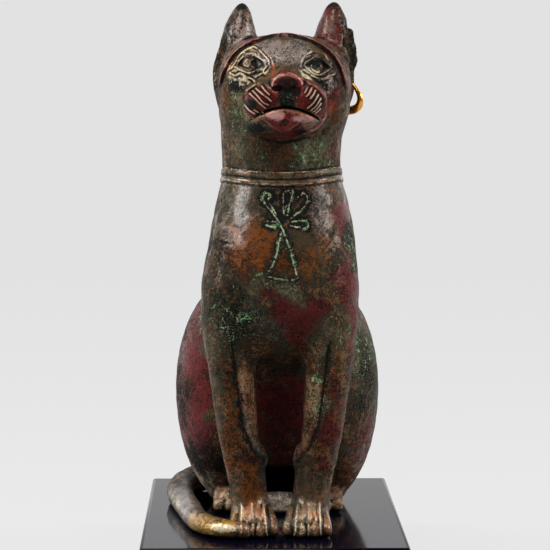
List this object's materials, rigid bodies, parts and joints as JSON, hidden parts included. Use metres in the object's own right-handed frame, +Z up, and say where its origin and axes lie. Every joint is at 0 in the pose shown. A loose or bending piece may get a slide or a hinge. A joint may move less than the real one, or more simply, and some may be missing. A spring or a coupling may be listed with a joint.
{
  "type": "bastet cat figure",
  "caption": "Seated cat in dark patinated bronze with collar and incised chest amulet, tail laid along its flank, a gold hoop in one ear, on a black stone slab.",
  "frame": {"origin": "middle of the slab's underside", "axes": "+Z up, -Y the way the cat looks, +X the cat's left side"},
  "size_m": [0.1168, 0.212, 0.2606],
  "materials": {
    "bronze": "dark brown and red bronze patina with green and black patches, waxed gloss",
    "gold": "polished gold",
    "black_stone": "polished black stone"
  },
  "bodies": {
    "root": {"cat_figure": "bronze", "gold_earring": "gold", "plinth": "black_stone"}
  },
  "joints": []
}
